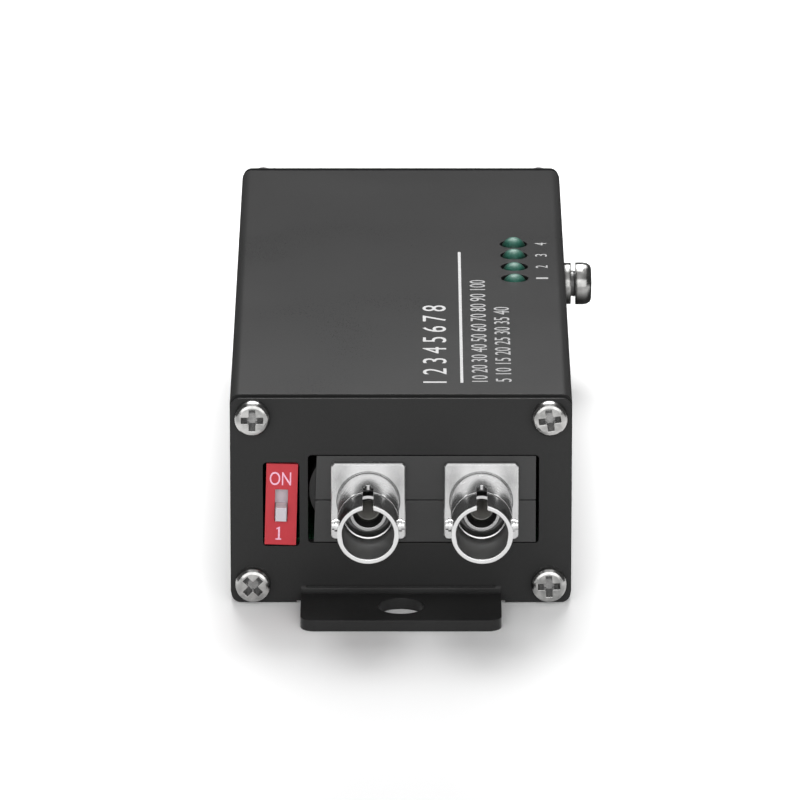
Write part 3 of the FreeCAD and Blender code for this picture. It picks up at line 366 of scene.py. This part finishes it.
def make_green_plastic():
    """Green moulded plastic of the power terminal."""
    material, shader, place = new_finish("green_plastic", {"Specular IOR Level": 0.45})
    grain = place.noise(4400.0, 3.0)
    flow = place.noise(260.0, 2.0)
    wire_up(shader, {"Base Color": flow.blend((0.025, 0.20, 0.07), (0.04, 0.27, 0.10)),
                     "Roughness": 0.36 + 0.14 * grain},
            grain, 0.008 * MM, 0.10 * MM)
    return material


def make_green_lens():
    """Tinted epoxy of an indicator lamp, with painted shade and light: deep green at its rim as
    painted shade, paler over a spot just in front of its middle as painted light.
    The lamps stand a pitch apart along Y, so one pattern repeats under all four."""
    painted_spot_forward = 0.3 * MM
    painted_spot_reach = 1.55 * MM
    cloud_reach = 0.6 * MM
    # The first two are the ramp's two ends
    stops = [(0.0, (0.13, 0.28, 0.22)), (1.0, (0.001, 0.026, 0.015)),
             (0.35, (0.07, 0.195, 0.15)), (0.75, (0.014, 0.10, 0.07))]
    low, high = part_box("led_1")
    second_low, second_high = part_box("led_2")
    lamp_x = (low[0] + high[0]) / 2
    lamp_y = (low[1] + high[1]) / 2
    pitch = (second_low[1] + second_high[1]) / 2 - lamp_y
    material, shader, place = new_finish("green_lens", {"Transmission Weight": 0.1, "IOR": 1.5,
                                                       "Specular IOR Level": 0.3})
    x, y, _ = place.parts()
    along = (y - (lamp_y - pitch / 2 - painted_spot_forward)) / pitch
    off_y = (along.fraction() - 0.5) * pitch
    distance = ((x - lamp_x) ** 2.0 + off_y ** 2.0) ** 0.5
    cloud = place.noise(2500.0)
    # Deep green at the rim is painted shade; the pale spot just in front of the middle is painted
    # light.
    colour = place.node("ShaderNodeValToRGB", {"stops": stops},
                        {0: (distance + cloud_reach * cloud) / painted_spot_reach})
    wire_up(shader, {"Base Color": colour, "Roughness": 0.40 + 0.10 * cloud})
    return material


def make_print_ink(name, thin, thick):
    """Screen ink: nearly even, a little thinner in small patches."""
    material, shader, place = new_finish(name, {"Specular IOR Level": 0.3})
    patch = place.noise(3400.0, 3.0)
    wire_up(shader, {"Base Color": patch.smooth(0.3, 0.7).blend(thin, thick),
                     "Roughness": 0.45 + 0.2 * patch},
            patch, 0.003 * MM)
    return material


finishes = {
    "case_paint": make_case_paint(),
    "screw_steel": make_screw_steel("screw_steel", 0.24, 0.48, 0.14 * MM),
    "board_laminate": make_board_laminate(),
    "black_plastic": make_black_plastic(),
    "port_nickel": make_port_nickel(),
    "ceramic": make_ceramic(),
    "red_plastic": make_red_plastic(),
    "white_plastic": make_white_plastic(),
    "tinned_metal": make_tinned_metal(),
    "contact_gold": make_contact_gold(),
    "green_plastic": make_green_plastic(),
    "green_lens": make_green_lens(),
}
earth_steel = make_screw_steel("earth_steel", 0.21, 0.32, 0.45 * MM)
white_ink = make_print_ink("white_ink", grey(0.52), grey(0.64))
thin_ink = make_print_ink("thin_white_ink", grey(0.34), grey(0.44))
pink_ink = make_print_ink("pale_switch_ink", (0.78, 0.42, 0.55), (0.86, 0.52, 0.66))

for entry in frame["record"]["subparts"]:
    node_materials = frame["nodes"][entry["node"]].data.materials
    node_materials.clear()
    on_earth_screw = entry["node"].startswith("earth_")
    node_materials.append(earth_steel if on_earth_screw else finishes[entry["material_slot"]])


# ---------------------------------------------------------------- pieces
def add_piece(name, mesh, material):
    """Stands the mesh at the origin as a piece, dressed and riding on the case."""
    mesh.name = name
    mesh.materials.clear()
    mesh.materials.append(material)
    piece = bpy.data.objects.new(name, mesh)
    bpy.context.scene.collection.objects.link(piece)
    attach(piece, "case")
    return piece


def new_mesh(name, points, faces):
    """A mesh of these points and faces, checked for doubled or broken ones."""
    mesh = bpy.data.meshes.new(name)
    mesh.from_pydata(points.tolist(), [], faces)
    mesh.validate()
    return mesh


def prism(outline, foot, top):
    """The points and faces of an upright solid on a flat outline, which stands once at the foot and
    once at the top."""
    count = len(outline)
    points = np.concatenate([np.column_stack([outline, np.full(count, level)])
                             for level in (foot, top)])
    here = np.arange(count)
    after = (here + 1) % count
    faces = np.stack([here, after, after + count, here + count], -1).tolist()
    faces += [(here + count).tolist(), here[::-1].tolist()]
    return points, faces


def rounded_rectangle(centre, size, radius, steps=5):
    """The outline of a rectangle with rounded corners. A corner's points are centre + (half size -
    radius) * (sign of cos, sign of sin) + radius * (cos t, sin t), with t going once round in four
    quarters."""
    quarter = np.linspace(0, math.pi / 2, steps)
    angle = (quarter + np.arange(4)[:, None] * math.pi / 2).ravel()
    corner = np.repeat([[1, 1], [-1, 1], [-1, -1], [1, -1]], steps, 0)
    arc = radius * np.stack([np.cos(angle), np.sin(angle)], 1)
    return np.array(centre) + (np.array(size) / 2 - radius) * corner + arc


# ---------------------------------------------------------------- printing
ink_foot = -0.004 * MM
ink_top = 0.012 * MM
case_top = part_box("case_sleeve")[1][2]


def laid_on(flat, size, face_point, right, up):
    """Type or a flat shape, stretched to its size (width, height) and the ink's thickness and laid
    on a face: p' = face_point + p.x * right + p.y * up + p.z * (right x up)."""
    low, high = flat.min(0), flat.max(0)
    flat = (flat - (low + high) / 2) / (high - low) * (*size, ink_top - ink_foot)
    right, up = np.array(right, float), np.array(up, float)
    return flat @ np.stack([right, up, np.cross(right, up)]) + np.array(face_point)


def lettering(name, text, size, face_point, right, up, ink):
    """Plain type as a thin mesh, centred on face_point and stretched to its size (width, height).
    right and up are the directions in which it reads and stands."""
    curve = bpy.data.curves.new(name, "FONT")
    curve.body = text
    curve.size = 1.0
    curve.extrude = 0.5
    curve.resolution_u = 4
    shown = bpy.data.objects.new(name + "_type", curve)
    bpy.context.scene.collection.objects.link(shown)
    bpy.context.view_layer.update()
    evaluated = shown.evaluated_get(bpy.context.evaluated_depsgraph_get())
    mesh = bpy.data.meshes.new_from_object(evaluated)
    bpy.data.objects.remove(shown)
    flat = np.zeros(len(mesh.vertices) * 3)
    mesh.vertices.foreach_get("co", flat)
    points = laid_on(flat.reshape(-1, 3), size, face_point, right, up)
    mesh.vertices.foreach_set("co", points.ravel())
    return add_piece(name, mesh, ink)


def print_row(name, text, x_low, x_high, y_first, y_last, ink):
    """Numbers printed on the case's top between these sides, in millimetres. They read towards the
    rear."""
    size = ((y_last - y_first) * MM, (x_high - x_low) * MM)
    middle = ((x_low + x_high) / 2 * MM, (y_first + y_last) / 2 * MM,
              case_top + (ink_foot + ink_top) / 2)
    lettering(name, text, size, middle, (0, 1, 0), (-1, 0, 0), ink)


def numeral_one(name, size, face_point, right, up, ink):
    """The numeral 1 with a flag and a foot, drawn in a square of side 1."""
    outline = np.array([(-0.50, -0.50), (0.50, -0.50), (0.50, -0.40), (0.24, -0.40),
                        (0.24, 0.50), (0.08, 0.50), (-0.38, 0.39), (-0.38, 0.29),
                        (-0.08, 0.35), (-0.08, -0.40), (-0.50, -0.40)])
    flat, faces = prism(outline, 0.0, 1.0)
    points = laid_on(flat, size, face_point, right, up)
    return add_piece(name, new_mesh(name, points, faces), ink)


# A plain line runs along the top between the large numbers and the rows of small ones
line_x = 6.87 * MM
line_width = 0.33 * MM
line_ends = (-39.57 * MM, 10.16 * MM)
line_corner = 0.06 * MM
line_outline = rounded_rectangle((line_x, sum(line_ends) / 2),
                                 (line_width, line_ends[1] - line_ends[0]), line_corner)
line_mesh = new_mesh("top_line", *prism(line_outline, case_top + ink_foot, case_top + ink_top))
add_piece("top_line", line_mesh, white_ink)

print_row("top_numbers_large", "1 2 3 4 5 6 7 8", 2.48, 5.19, -39.6, -10.7, white_ink)
print_row("top_numbers_long", "10 20 30 40 50 60 70 80 90 100", 8.0, 9.82, -39.2, -0.9, thin_ink)
print_row("top_numbers_short", "5 10 15 20 25 30 35 40", 10.7, 12.5, -39.2, -11.3, thin_ink)
for number in range(1, 5):
    led_low, led_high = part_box("led_%d" % number)
    led_y = (led_low[1] + led_high[1]) / 2 / MM
    half_width = 0.3 if number == 1 else 0.5
    print_row("lamp_number_%d" % number, str(number), 15.8, 17.2,
              led_y - half_width, led_y + half_width, thin_ink)

# ON stands near the switch's upper edge and 1 near its lower edge, both just left of its middle
switch_low, switch_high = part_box("dip_switch_housing")
switch_middle = np.array([(switch_low[0] + switch_high[0]) / 2, switch_low[1] - 0.004 * MM,
                          (switch_low[2] + switch_high[2]) / 2])
switch_height = 9.6 * MM
on_rise = switch_height / 2 - 1.75 * MM
one_drop = switch_height / 2 - 1.36 * MM
lettering("switch_on", "ON", (2.41 * MM, 1.58 * MM),
          switch_middle - 0.17 * MM * switch_right + on_rise * switch_up,
          switch_right, switch_up, pink_ink)
numeral_one("switch_number", (0.64 * MM, 1.54 * MM),
            switch_middle - 0.23 * MM * switch_right - one_drop * switch_up,
            switch_right, switch_up, pink_ink)


# ---------------------------------------------------------------- thread of the earth screw
def helical_thread(name, start, length, root, crest, pitch, material):
    """A screw thread along X: a grid of turn angle t and place along the screw s, with radius
    root + (crest - root) * ridge, where ridge is a rounded triangle wave of s / pitch - t / 360."""
    around = 48
    rows = int(length / pitch * 12) + 1
    angle = np.linspace(0, 2 * math.pi, around, endpoint=False)
    along = np.linspace(0, length, rows)
    wave = (along[:, None] / pitch - angle[None, :] / (2 * math.pi)) % 1.0
    ridge = np.clip(1.25 - 2.5 * np.abs(wave - 0.5), 0, 1)
    radius = root + (crest - root) * ridge
    points = np.stack([start[0] + np.broadcast_to(along[:, None], radius.shape),
                       start[1] + radius * np.cos(angle), start[2] + radius * np.sin(angle)], -1)
    row = np.arange(rows - 1)[:, None] * around
    here = np.arange(around)[None, :]
    after = (here + 1) % around
    walls = np.stack([row + around + here, row + around + after, row + after, row + here], -1)
    faces = walls.reshape(-1, 4).tolist()
    last_row = (rows - 1) * around
    faces.append(list(range(around)))
    faces.append([last_row + index for index in reversed(range(around))])
    piece = add_piece(name, new_mesh(name, points.reshape(-1, 3), faces), material)
    piece.data.polygons.foreach_set("use_smooth", np.ones(len(piece.data.polygons), bool))


earth_low, earth_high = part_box("earth_screw")
thread_start = (19.35 * MM, (earth_low[1] + earth_high[1]) / 2, (earth_low[2] + earth_high[2]) / 2)
helical_thread("earth_screw_thread", thread_start, length=1.7 * MM, root=1.498 * MM,
               crest=1.59 * MM, pitch=0.5 * MM, material=earth_steel)


# ---------------------------------------------------------------- studio
def ray_kinds(tree):
    """Two wires that are 1 for what the camera sees straight on, and for what shows in gloss or
    through glass."""
    path = tree.nodes.new("ShaderNodeLightPath")
    in_gloss = Wire(tree, path.outputs["Is Glossy Ray"])
    through_glass = Wire(tree, path.outputs["Is Transmission Ray"])
    return Wire(tree, path.outputs["Is Camera Ray"]), (in_gloss + through_glass).clamped()


def make_floor():
    """A pale floor that keeps the object's shadow and is white far from it, with a painted shadow as
    well: its glow to the camera is weakest along the part's middle.
    To gloss it is pale too, but dark beside the case's rear half, as two black cards would be, so
    that the case's edges stay dark."""
    # Soft steps, in metres from the part's middle
    card_front = (0.012, 0.037)
    card_side = (0.016, 0.020)
    white_far = (0.20, 0.50)
    painted_shadow_fades_beside = (0.004, 0.034)
    half_side = 1.5

    fixed = {"Roughness": 0.9, "Specular IOR Level": 0.0, "Emission Strength": 1.0}
    material, shader, place = new_finish("pale_floor", fixed)
    camera_ray, gloss_ray = ray_kinds(shader.id_data)
    x, y, _ = place.parts()
    card = y.smooth(*card_front) * x.absolute().smooth(*card_side)
    far = ((x * x + y * y) ** 0.5).smooth(*white_far)
    # The camera's glow falls to nearly none along the part's middle: a painted shadow on the floor.
    near = 0.02 + 0.30 * x.absolute().smooth(*painted_shadow_fades_beside)
    glow = camera_ray * (near + (1.0 - near) * far) + 0.35 * gloss_ray * (1.0 - card)
    wire_up(shader, {"Base Color": (gloss_ray * card).blend(grey(0.92), grey(0.06)),
                     "Emission Color": glow.blend(grey(0.0), grey(1.0))})

    grid = np.linspace(-half_side, half_side, 3)
    x, y = np.meshgrid(grid, grid)
    points = np.stack([x.ravel(), y.ravel(), np.zeros(9)], 1)
    corner = np.array([0, 1, 3, 4])
    faces = np.stack([corner, corner + 1, corner + 4, corner + 3], 1).tolist()
    mesh = bpy.data.meshes.new("floor")
    mesh.from_pydata(points.tolist(), [], faces)
    mesh.materials.append(material)
    floor = bpy.data.objects.new("floor", mesh)
    bpy.context.scene.collection.objects.link(floor)


def make_world(ambient, side_gloss):
    """White to the camera, and an even dimmer light of the level ambient on the object. To gloss
    and through glass it is white below the horizon and in a strip overhead, and of the level
    side_gloss elsewhere."""
    horizon = (-0.12, 0.02)
    strip_starts = (0.45, 0.75)
    strip_ends = (0.04, 0.25)    # by the square of how far the direction points to a side

    world = bpy.data.worlds.new("studio")
    bpy.context.scene.world = world
    world.use_nodes = True
    tree = world.node_tree
    background = tree.nodes["Background"]
    direction = Wire(tree, tree.nodes.new("ShaderNodeTexCoord").outputs["Generated"])
    across, _, up = direction.parts()
    below = 1.0 - up.smooth(*horizon)
    strip = up.smooth(*strip_starts) * (1.0 - (across * across).smooth(*strip_ends))
    shade = side_gloss + (1.0 - side_gloss) * (below + strip).clamped()
    camera_ray, gloss_ray = ray_kinds(tree)
    level = camera_ray + gloss_ray * shade + (1.0 - (camera_ray + gloss_ray).clamped()) * ambient
    tree.links.new(level.blend(grey(0.0), grey(1.0)).socket, background.inputs["Color"])
    background.inputs["Strength"].default_value = 1.0


def make_lamp(name, place, aim, width, length, power):
    """A soft rectangular lamp that faces aim; its length lies in the vertical plane through its
    beam."""
    light = bpy.data.lights.new(name, "AREA")
    light.shape = "RECTANGLE"
    light.size = width
    light.size_y = length
    light.energy = power
    lamp = bpy.data.objects.new(name, light)
    bpy.context.scene.collection.objects.link(lamp)
    lamp.location = place
    direction = np.array(aim) - np.array(place)
    flat = math.hypot(direction[0], direction[1])
    lamp.rotation_euler = (math.atan2(flat, -direction[2]), 0,
                           math.atan2(-direction[0], direction[1]))


make_floor()
make_world(ambient=0.21, side_gloss=0.13)
make_lamp("rear_softbox", (0.0, 0.24, 0.30), (0, -0.01, 0.02), width=0.22, length=0.22, power=1.1)
make_lamp("overhead_softbox", (0.0, 0.24, 0.55), (0, 0, 0), width=0.20, length=0.50, power=1.4)
make_lamp("front_softbox", (0.0, -1.0, 0.33), (0, -0.04, 0.015), width=1.3, length=0.85, power=10.0)

camera_drop = 18.148    # degrees that it looks down
camera = bpy.data.objects.new("camera", bpy.data.cameras.new("camera"))
bpy.context.scene.collection.objects.link(camera)
camera.data.sensor_width = 36.0
camera.data.lens = 411.68
camera.data.clip_end = 20.0
camera.location = (-0.000109, -1.020306, 0.34382)
camera.rotation_euler = (math.radians(90 - camera_drop), 0, 0)
bpy.context.scene.camera = camera
bpy.context.scene.view_settings.view_transform = "Standard"
